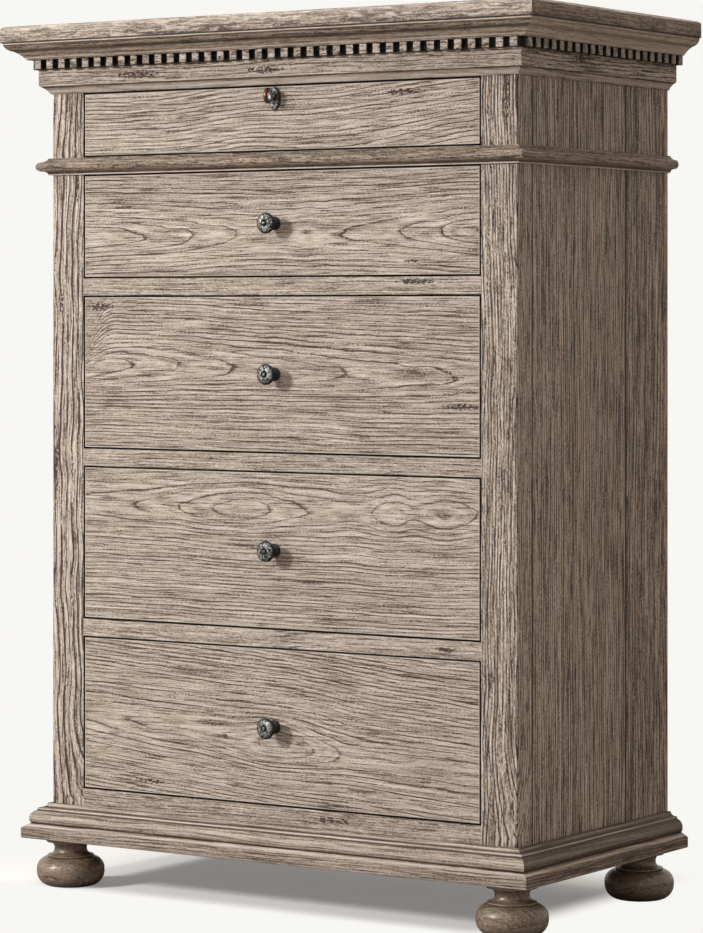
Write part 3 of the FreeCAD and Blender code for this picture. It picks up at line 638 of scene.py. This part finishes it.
def add_dentils(material):
    """Rows of small square teeth with rounded arrises on a thin strip, under the crown. The teeth
    differ a little in size, from a seeded draw, and painted shade darkens the gaps between them."""
    width, out, backing = 14 * MM, 12 * MM, 2.5 * MM
    high = TOP_UNDER - CROWN_H
    low = high - 15.7 * MM
    half, face = HALF_W + FRIEZE_OUT, FRONT_Y - FRIEZE_OUT
    rng = np.random.default_rng(7)
    front = [rounded_block((-half, face - backing, low), (half, face, high), 0.3 * MM, 1)]
    for left in np.linspace(-half, half - width, 38):
        nick = rng.uniform(0, 0.35 * MM, 2)
        front.append(rounded_block((left + nick[0] / 2, face - out + nick[1] / 2, low + nick[1] / 3),
                                   (left + width - nick[0] / 2, face - backing, high), 1.2 * MM))
    # Painted shade on the front teeth, everywhere but their front faces
    in_front = np.concatenate([shell[0][:, 1] for shell in front])
    shade_layers = {"hollow": np.clip((in_front - face + out - 0.1 * MM) / (0.7 * MM), 0, 1)}
    make_piece("dentil_teeth_front", front, material, "case", ["dentils_front"], shade_layers)
    sides = []
    for side in (-1, 1):
        near, far = sorted((side * half, side * (half + backing)))
        sides.append(rounded_block((near, face, low), (far, BACK_Y, high), 0.3 * MM, 1))
        near, far = sorted((side * (half + backing), side * (half + out)))
        for start in np.linspace(face, BACK_Y - width, 21):
            nick = rng.uniform(0, 0.35 * MM, 2)
            sides.append(rounded_block((near, start + nick[0] / 2, low + nick[1] / 3),
                                       (far, start + width - nick[0] / 2, high), 1.2 * MM))
    # Painted shade on the side teeth, everywhere but their outer faces
    beside = np.abs(np.concatenate([shell[0][:, 0] for shell in sides]))
    shade_layers = {"hollow": np.clip((half + out - beside - 0.1 * MM) / (0.7 * MM), 0, 1)}
    make_piece("dentil_teeth_sides", sides, material, "case", ["dentils_sides"], shade_layers)


def add_top(material):
    """Top board: rectangles of points stacked up a profile of (inset, level), worn along the upper
    edge. The back stays square, and painted shade lies at the foot of the profile, where it meets the crown."""
    curve = arc_points((0, TOP - 5 * MM), (3.28 * MM, TOP - 1.425 * MM), (8.2 * MM, TOP), 8)
    inset = np.concatenate([[0.6 * MM, 0.15 * MM, 0, 0, 0, 0], curve[:, 0]])
    level = np.concatenate([TOP_UNDER + np.array([0, 0.15, 0.6, 1.1, 2.0, 22.5]) * MM, curve[:, 1]])
    row = np.arange(len(inset))
    arris = np.where(row > 4, np.exp(-(((inset - 1.2 * MM) / (2.5 * MM)) ** 2)), 0)
    along, beside = np.linspace(-1, 1, 120), np.linspace(0, 1, 64)
    ones = np.ones_like
    path_x = np.concatenate([along, ones(beside), -along, -ones(beside)])
    path_y = np.concatenate([0 * along, beside, ones(along), 1 - beside])
    worn = unevenness(np.arange(len(path_x)) * 8.5 * MM, 3, 0.5 * MM, 12 * MM)
    depth = inset[:, None] + arris[:, None] * worn
    x = path_x * (TOP_HALF - depth)
    y = (TOP_FRONT + depth) * (1 - path_y) + BACK_Y * path_y
    # Each corner is in two of the four stretches of the path, and is kept once
    corners = np.cumsum([len(along), len(beside), len(along), len(beside) - 1])
    points = np.delete(np.stack(np.broadcast_arrays(x, y, level[:, None]), -1), corners, axis=1)
    # Painted shade along the foot of the profile, where the top meets the crown
    foot = np.where(row < 4, 1.0, 0.0)
    layers = {"hollow": np.repeat(foot, points.shape[1]), "arris": np.repeat(arris * 0.3, points.shape[1])}
    make_piece("top_slab", [tube(points)], material, "case", ["top_board"], layers)


# ---------------------------------------------------------------- turned and cast pieces

def turned(profile, centre, axis, sides, relief=None):
    """Profile of (radius, distance) turned round an axis: z for the feet, -y for the knobs.

    relief(radius, distance, angle) moves each point out along the axis."""
    angle = np.linspace(0, 2 * math.pi, sides, endpoint=False)[None]
    radius, out = profile[:, :1], profile[:, 1:]
    if relief is not None:
        out = out + relief(radius, out, angle)
    across, up = radius * np.cos(angle), radius * np.sin(angle)
    out = np.broadcast_to(out, across.shape)
    x, y, z = centre
    if axis == "z":
        return tube(np.stack([x + across, y + up, z + out], -1))
    return tube(np.stack([x + across, y - out, z + up], -1))


FOOT = ((0.64, 0), (0.915, 0.115, 1, 0.325), (0.905, 0.520, 0.660, 0.600), (0.685, 0.610),
        (0.685, 0.638), (0.600, 0.645), (0.480, 0.750, 0.715, 0.910), (0.730, 0.960), (0.700, 1))


def add_feet(material):
    """Turned bun feet: bun, bead, concave neck and collar, with painted shade in the hollows and near the
    floor.
    """
    profile = ease_corners(outline(FOOT, 56.25 * MM, FOOT_H, 16, closed=False), 0.8 * MM, closed=False)
    ring = np.concatenate([profile, [[0, FOOT_H], [0, 0]]])
    # Painted shade: darker in the hollows and towards the floor
    hollow = np.clip(pocket(ring, 4 * MM, above=True)[:-2] * 3, 0, 1)
    hollow += np.clip(1 - profile[:, 1] / (16 * MM), 0, 0.7)
    sides = 72
    for name, y in (("front", FRONT_Y + 20.5 * MM), ("rear", BACK_Y - 56.4 * MM)):
        shells = [turned(profile, (side * 428 * MM, y, 0), "z", sides) for side in (-1, 1)]
        layers = {"hollow": np.tile(np.repeat(hollow, sides), 2), "arris": np.zeros(2 * sides * len(hollow))}
        make_piece(f"{name}_bun_feet", shells, material, "case", [f"{name}_feet"], layers)


# Shares of the knob's radius and of how far it stands out
KNOB = ((0.65, 0), (0.66, 0.05), (0.60, 0.09), (0.40, 0.15), (0.34, 0.22), (0.32, 0.36, 0.40, 0.50),
        (0.62, 0.60, 0.90, 0.685), (0.985, 0.735), (1.0, 0.775, 0.975, 0.815), (0.78, 0.885, 0.36, 0.930),
        (0.30, 0.918), (0.25, 0.902), (0.195, 0.918), (0.175, 0.955), (0.11, 0.992, 0.02, 1.0))


def knob_relief(radius, out, angle):
    """Chased petals between the button and the rim of the domed face: nine shallow lobes, crossed by
    fourteen that twist, cos(9 t) - 0.4 + 0.6 cos(14 t + 9 r)."""
    share = radius / KNOB_R
    face = np.clip((out / KNOB_OUT - 0.80) / 0.05, 0, 1)
    window = np.clip((share - 0.40) / 0.12, 0, 1) * np.clip((0.97 - share) / 0.14, 0, 1)
    return face * window * (0.09 * MM) * (np.cos(9 * angle) - 0.4 + 0.6 * np.cos(14 * angle + 9 * share))


def add_knobs(material):
    """Cast knobs: a rose, a waisted neck and a domed, chased head with a button."""
    profile = outline(KNOB, KNOB_R, KNOB_OUT, 7, closed=False)
    sides = 96
    share, level = profile[:, 0] / KNOB_R, profile[:, 1] / KNOB_OUT
    # Rubbed bright on the button and face; dark in the groove round the button, and dark at the rim of the head
    # as painted shade
    face = np.interp(share, (0, 0.16, 0.18, 0.30, 0.38, 0.80, 0.90), (1, 1, 0, 0, 1, 1, 0.1))
    proud = np.where(level < 0.80, 0.10, face)
    for number in range(2, 6):
        low, high = LEVELS[number]
        shell = turned(profile, (0, FRONT_Y, (low + high) / 2), "-y", sides, knob_relief)
        layers = {"proud": np.repeat(proud, sides)}
        make_piece(f"knob_{number}", [shell], material, f"drawer_{number}",
                   [f"drawer_{number}_knob"], layers)


def add_escutcheon(material):
    """Oval plate with a raised, beaded rim: rings of points go from the keyhole's edge h to the
    plate's edge r as h (1 - s) + r s."""
    angle = np.linspace(0, 2 * math.pi, 96, endpoint=False)
    down = np.abs(np.sin(angle + math.pi / 2))
    slot = np.where(np.sin(angle) < 0, np.minimum(8.1 / np.maximum(-np.sin(angle), 1e-6),
                                                  1.5 / np.maximum(down, 1e-6)), 0)
    hole = np.maximum(2.7, slot) * MM
    hole_x, hole_z = hole * np.cos(angle), hole * np.sin(angle) + KEY_Z
    rim_x, rim_z = PLATE_HALF[0] * np.cos(angle), PLATE_HALF[1] * np.sin(angle) + PLATE_Z
    share = np.array([0, 0, 0.04, 0.30, 0.62, 0.74, 0.82, 0.90, 0.96, 0.99, 1.0, 1.0])[:, None]
    out = np.array([0, 1.8, 2.0, 2.1, 2.05, 2.0, 2.4, 2.6, 2.6, 2.3, 1.6, 0])[:, None] * MM
    bead = 0.18 * MM * np.cos(28 * angle) * ((share > 0.8) & (share < 0.99))
    x = hole_x * (1 - share) + rim_x * share
    z = hole_z * (1 - share) + rim_z * share
    y = np.broadcast_to(FRONT_Y - out - bead, x.shape)
    points = np.stack([x, y, z], -1)
    faces = grid_faces(*points.shape[:2], wrap_rows=True, wrap_columns=True).tolist()
    # Rubbed bright on the raised rim; dark round the keyhole as a painted shadow of the key, and dark on the
    # outer edge as painted shade
    proud = np.broadcast_to(np.interp(share, (0.4, 0.6, 0.94, 0.97), (0.1, 1.0, 1.0, 0.0)), x.shape)
    make_piece("escutcheon_plate", [(points.reshape(-1, 3), faces)], material, "drawer_1",
               ["escutcheon"], {"proud": proud})


def add_key(material):
    """Key: an oval ring, a collar and shank with turned beads, and the bit.

    The ring's bar is a rounded square: sign(cos t) |cos t|^0.5 across and sign(sin t) |sin t|^0.5
    along its thickness."""
    around = np.linspace(0, 2 * math.pi, 72, endpoint=False)[:, None]
    round_bar = np.linspace(0, 2 * math.pi, 20, endpoint=False)[None]
    middle_y, half_y, half_z = FRONT_Y - 19.2 * MM, 9.9 * MM, 12.9 * MM
    thick = 2.7 * MM
    reach, x = (size * np.sign(wave) * np.abs(wave) ** 0.5
                for size, wave in ((thick, np.cos(round_bar)), (2.98 * MM, np.sin(round_bar))))
    y = middle_y + (half_y - thick + reach) * np.cos(around)
    z = KEY_Z + (half_z - thick + reach) * np.sin(around)
    bow = (np.stack(np.broadcast_arrays(x, y, z), -1).reshape(-1, 3), grid_faces(72, 20, True, True).tolist())
    bar = np.array([(2.4, -17.1), (2.4, 4.6), (2.9, 5.0), (2.4, 5.4), (2.5, 6.6), (3.6, 7.3), (3.8, 8.0),
                    (3.6, 8.7), (2.7, 9.3), (2.9, 10.0), (2.6, 11.0)]) * MM
    shank = turned(bar, (0, FRONT_Y, KEY_Z), "-y", 32)
    bit = rounded_block((-0.9 * MM, FRONT_Y + 14.2 * MM, KEY_Z - 7.5 * MM),
                        (0.9 * MM, FRONT_Y + 17.1 * MM, KEY_Z - 1 * MM), 0.2 * MM, 1)
    make_piece("key_forged", [bow, shank, bit], material, "key", ["key"])


# ---------------------------------------------------------------- put together

def dress(material, *nodes):
    """Gives CAD nodes a finish."""
    for node in nodes:
        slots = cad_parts[node].material_slots
        for slot in slots:
            slot.material = material
        if not slots:
            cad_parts[node].data.materials.append(material)


def dress_fronts():
    """Drawer fronts: for each, where its pith lies, how deep along the board (place and depth in mm),
    and its worn marks (place and half size in mm)."""
    figures = {
        1: dict(pith=-0.130, tilt=-0.05, ring=6.0 * MM, marks=((245, 34, 46, 6),),
                # Painted shadow of the escutcheon plate, offset to the lower right
                plate_shadow=(1.2 * MM, PLATE_Z - 1.262 - 0.8 * MM),
                figure=((-383, 60), (-200, 78), (-60, 70), (120, 84), (383, 58))),
        2: dict(pith=-0.017, ring=5.9 * MM, shade=0.03, marks=((260, -62, 18, 3),),
                figure=((-383, 24), (-173, 34), (-93, 40), (-20, 44), (40, 43), (64, 41.5), (90, 43),
                        (106, 42), (236, 36), (310, 30), (383, 24))),
        3: dict(pith=0.006, tilt=0.02, ring=5.8 * MM, shade=0.04, swirl=(-0.385, -0.30, 0.075),
                marks=((-350, 108, 32, 8), (350, -47, 38, 7)),
                figure=((-383, 25), (-290, 29), (-198, 34.8), (-87, 40.6), (151, 46.4), (332, 52.2),
                        (383, 54))),
        4: dict(pith=0.066, ring=5.8 * MM,
                figure=((-383, 44), (-200, 36), (-63, 26), (20, 32), (100, 36), (160, 38), (226, 30),
                        (262, 34), (319, 29), (383, 36))),
        5: dict(pith=-0.025, tilt=0.07, ring=6.0 * MM, marks=((-245, -104, 36, 5),),
                figure=((-383, 40), (-250, 35), (-150, 33), (-60, 27), (0, 22), (60, 28), (130, 36),
                        (250, 38), (383, 39))),
    }
    for number, facts in figures.items():
        low, high = LEVELS[number]
        material = oak(f"front_{number}_oak", "x", "z", number * 1.7, centre=(0, (low + high) / 2),
                       depth_at=FRONT_Y, span=0.77, gap_shadow=True,
                       edges=(DRAWER_HALF, (high - low) / 2 - FRONT_GAP), **facts)
        dress(material, f"drawer_{number}_front")


def dress_case():
    """Posts, sides, rails, back and the plain wood inside."""
    posts = {
        -1: dict(ring=10.5 * MM, strength=1.8, shade=-0.02, wave=9 * MM,
                 marks=((-52, -24, 52, 5), (420, 18, 40, 6))),
        1: dict(ring=4.8 * MM, strength=1.3, shade=0.07, wave=4 * MM,
                marks=((545, 12, 70, 7), (440, -12, 30, 6))),
    }
    for side, name in ((-1, "left"), (1, "right")):
        post = oak(f"post_{name}_oak", "z", "x", 11.3 + side, centre=(0.75, side * POST_X), depth_at=FRONT_Y,
                   bury=45 * MM, pith=side * 0.085, contrast=1.4, short=1.4, gap_shadow=True, post=side,
                   swirl=(-0.60, -0.28, -0.06), flank_painted_tone=-0.12, flank_painted_tint=(1.0, 0.95, 0.88),
                   **posts[side])
        dress(post, f"front_post_{name}")
        panel = oak(f"panel_{name}_oak", "z", "y", 21.9 + side, centre=(0.75, 0.0), depth_at=side * HALF_W,
                    bury=110 * MM, pith=0.5, ring=6.5 * MM, strength=0.7, contrast=1.6, short=0.9, thin=0.70,
                    tint=(1.0, 0.93, 0.855), faint=-0.0392,
                    joints=((-0.1655, -0.05), (-0.0392, 0.05), (0.1293, 0.13)))
        dress(panel, f"side_panel_{name}")
    rails = oak("rail_oak", "x", "z", 31.4, centre=(0, 0.7), depth_at=FRONT_Y, bury=60 * MM, ring=4.2 * MM,
                pith=-0.3, strength=0.55, contrast=0.9, shade=0.06, flecks=0.6, gap_shadow=True,
                marks=((266, 301, 42, 5), (112, -549, 40, 6), (324, -268, 25, 5)))
    dress(rails, "drawer_rails", "bottom_rail", "top_rail")
    back = oak("back_oak", "z", "x", 41.0, centre=(0.75, 0), depth_at=BACK_Y, bury=80 * MM, shade=0.05,
               contrast=0.8,
               joints=((-0.292, 0.05), (-0.146, 0.05), (0.0, -0.1), (0.146, 0.05), (0.292, 0.05)))
    dress(back, "back_boards")
    plain = dict(bury=120 * MM, strength=0.6, contrast=0.5, shade=-0.12)
    dress(oak("inner_oak", "y", "x", 51.0, **plain),
          "drawer_runners", "bottom_panel", *(f"drawer_{n}_sides" for n in LEVELS))
    dress(oak("inner_oak_cross", "x", "z", 52.0, centre=(0, 0.7), **plain),
          "drawer_stops", *(f"drawer_{n}_{part}" for n in LEVELS for part in ("back", "bottom")))


def moulding_oaks():
    """For each moulding, the oak of its front and a painted light-and-shade copy for its sides: each side is a
    tone lighter or darker than the front, for how light falls there, with its own painted shade in the hollows.
    """
    along = dict(centre=(0, 0.7), bury=70 * MM, pith=-0.2, ring=5 * MM, recess_shade=PAINTED_SHADE)
    looks = {
        "cornice": dict(strength=0.30, contrast=0.80, shade=0.28, flecks=0.30, short=2.0, curl=2 * MM,
                        tint=(1.0, 0.965, 0.92)),
        "waist": dict(strength=0.30, contrast=0.85, shade=0.29, flecks=0.40, short=2.5, curl=4 * MM,
                      tint=(1.0, 0.98, 0.95)),
        "base": dict(strength=0.7, contrast=0.75, shade=0.13, flecks=0.2),
        "plinth": dict(strength=0.8, contrast=0.85, shade=0.20, flecks=0.2),
    }
    # Painted light and shade on the sides of each moulding: their tone, the colour of the painted shade in
    # their hollows, and a warmer tint
    side_painted_tones = {"cornice": (-0.16, (0.24, 0.175, 0.13)), "waist": (0.20, PAINTED_SHADE), "base": (0.56, PAINTED_SHADE),
                  "plinth": (0.40, PAINTED_SHADE)}
    runs = {}
    for name, look in looks.items():
        shade, recess_shade = side_painted_tones[name]
        beside = {**along, **look, "shade": shade, "recess_shade": recess_shade, "tint": (1.0, 0.93, 0.85)}
        runs[name] = (oak(f"{name}_front_oak", "x", "z", 61.0, depth_at=FRONT_Y, **along, **look),
                      oak(f"{name}_side_oak", "y", "z", 62.0, depth_at=HALF_W, **beside))
    flat = dict(centre=(0, 1.3655), bury=60 * MM, short=1.5, recess_shade=PAINTED_SHADE, pith=-0.1)
    runs["frieze"] = (
        oak("frieze_oak", "x", "z", 63.0, depth_at=FRONT_Y, ring=5.5 * MM, contrast=0.85, shade=0.11,
            marks=((-262, -24, 50, 8), (-8, -27, 42, 7)), **flat),
        oak("frieze_side_oak", "y", "z", 64.0, depth_at=HALF_W, ring=5 * MM, contrast=1.2, thin=0.8,
            tint=(1.0, 0.95, 0.89), marks=((-40, -16, 40, 9),), **flat))
    return runs


def add_case():
    """Mouldings, dentils, top and feet, from new meshes."""
    runs = moulding_oaks()
    add_mouldings("frieze", FRIEZE, 0, 16.4, TOP_OPENING, 83.5, runs["frieze"], above=True,
                  lines=((0.138, 1.2, 0.8), (0.07, 3.5, -0.6)))
    add_mouldings("crown", CROWN, 16.4, 42.6, TOP_UNDER - CROWN_H, 27.5, runs["cornice"], above=True,
                  lines=((1.0, 0.5, 1.0), (0.93, 1.1, -1.2), (0.845, 1.3, 1.2), (0.545, 2.2, 0.8),
                         (0.38, 2.5, -0.25), (0.13, 1.1, -0.8), (0.0, 0.9, 0.8)))
    add_mouldings("waist_moulding", WAIST, 0, 20.5, WAIST_LOW, 28, runs["waist"],
                  lines=((0.03, 1.0, -0.8), (0.11, 1.1, 0.8), (0.5, 6, 0.2), (0.97, 0.9, 0.7)))
    add_mouldings("base_moulding", BASE, 0, 28, PLINTH_TOP, 32.5, runs["base"], below=True,
                  lines=((0.0, 1.0, 1.0), (0.35, 4, -0.25), (0.655, 1.3, 1.0), (0.73, 1.0, -0.8),
                         (0.80, 1.1, 0.8), (0.90, 1.5, -0.3), (1.0, 0.9, 0.9)))
    add_mouldings("plinth", PLINTH, -72.5, 110, FOOT_H, 24.5, runs["plinth"],
                  lines=((0.0, 0.7, 0.6), (0.72, 0.9, 0.5), (0.86, 1.8, -0.7), (1.0, 0.8, 1.0)))
    dress(runs["plinth"][0], "plinth_back")
    # Near-black painted shade in the gaps between the dentil teeth
    add_dentils(oak("dentil_oak", "x", "z", 65.0, centre=(0, 1.36), bury=60 * MM, ring=4 * MM, strength=0.4,
                    contrast=1.2, short=6.0, shade=0.12, recess_shade=(0.004, 0.003, 0.002)))
    # The end of the top is painted darker and browner (flank_painted_tint), as painted shade
    add_top(oak("top_oak", "x", "y", 66.0, depth_at=TOP, bury=80 * MM, strength=0.6, contrast=1.15,
                shade=0.25, wave=6 * MM, short=1.4, curl=4 * MM, recess_shade=PAINTED_SHADE, frame_width=95 * MM,
                flank_painted_tint=(0.64, 0.55, 0.46)))
    add_feet(oak("foot_oak", "x", "z", 67.0, centre=(0.428, 0.05), bury=70 * MM, ring=9 * MM, strength=0.35,
                 contrast=0.45, shade=0.29, short=2.0, curl=6 * MM, tint=(1.0, 0.94, 0.88), wave=12 * MM,
                 recess_shade=PAINTED_SHADE, polish=0.33))


def add_metalwork():
    """Knobs, escutcheon and key, from new meshes, and the finish of the lock."""
    add_knobs(pewter("chased_pewter", 2.0, light=0.36))
    add_escutcheon(pewter("plate_pewter", 5.0, light=0.33))
    add_key(plain_metal("key_iron", (0.36, 0.35, 0.35), 3.0, (0.11, 0.042, 0.026)))
    dress(plain_metal("lock_steel_filed", (0.42, 0.41, 0.39), 8.0), "lock_case", "lock_bolt")


def add_studio():
    """Soft lamps, a white world and a pale floor that shows the shadow near the feet."""
    add_lamp("key_lamp", (-2.9, -4.4, 2.6), (0, 0, 0.75), 0.9, 235, (1.0, 0.985, 0.965))
    add_lamp("overhead_lamp", (0.0, -0.5, 3.6), (0, -0.1, 0.7), 2.0, 60, (1.0, 0.985, 0.96))
    backdrop = (0.939, 0.930, 0.896, 1)

    world = bpy.data.worlds.new("studio")
    bpy.context.scene.world = world
    s = Shader(world)
    camera, glossy, clear = (s.node("LightPath", output=f"Is {ray} Ray")
                             for ray in ("Camera", "Glossy", "Transmission"))
    direct = s.math("MAXIMUM", camera, s.math("MAXIMUM", glossy, clear))
    soft = s.node("Background", None, {"Color": (1.0, 0.93, 0.84, 1), "Strength": 0.34})
    white = s.node("Background", None, {"Color": backdrop})
    s.node("OutputWorld", None, {"Surface": s.node("MixShader", None, {0: direct, 1: soft, 2: white})})

    s = Shader(bpy.data.materials.new("studio_floor"))
    x, y, _ = s.place()
    near = (s.smooth(x, 0.43, 0.34) * s.smooth(x, -0.75, -0.45) * s.smooth(y, -0.25, -0.17)
            * s.smooth(y, 0.52, 0.26))
    matt = s.node("BsdfDiffuse", None, {"Color": (0.95, 0.945, 0.94, 1)})
    # Near the chest the floor also glows faintly of its own besides its diffuse, which lightens the shadow
    # there
    floor_glow = s.node("Emission", None, {"Color": (0.939, 0.930, 0.920, 1), "Strength": 0.20})
    lit = s.node("AddShader", None, {0: matt, 1: floor_glow})
    glow = s.node("Emission", None, {"Color": backdrop, "Strength": 1.0})
    shown = s.node("MixShader", None, {0: near, 1: glow, 2: lit})
    plain = s.node("BsdfDiffuse", None, {"Color": (0.40, 0.39, 0.38, 1)})
    seen = s.node("LightPath", output="Is Camera Ray")
    s.node("OutputMaterial", None, {"Surface": s.node("MixShader", None, {0: seen, 1: plain, 2: shown})})
    mesh = bpy.data.meshes.new("floor")
    edge = 14.0
    corners = [(-edge, -edge, 0), (edge, -edge, 0), (edge, edge, 0), (-edge, edge, 0)]
    mesh.from_pydata(corners, [], [(0, 1, 2, 3)])
    mesh.materials.append(s.owner)
    floor = bpy.data.objects.new("floor", mesh)
    bpy.context.scene.collection.objects.link(floor)


add_camera()
add_case()
dress_fronts()
dress_case()
add_metalwork()
add_studio()
bpy.context.scene.view_settings.view_transform = "Standard"
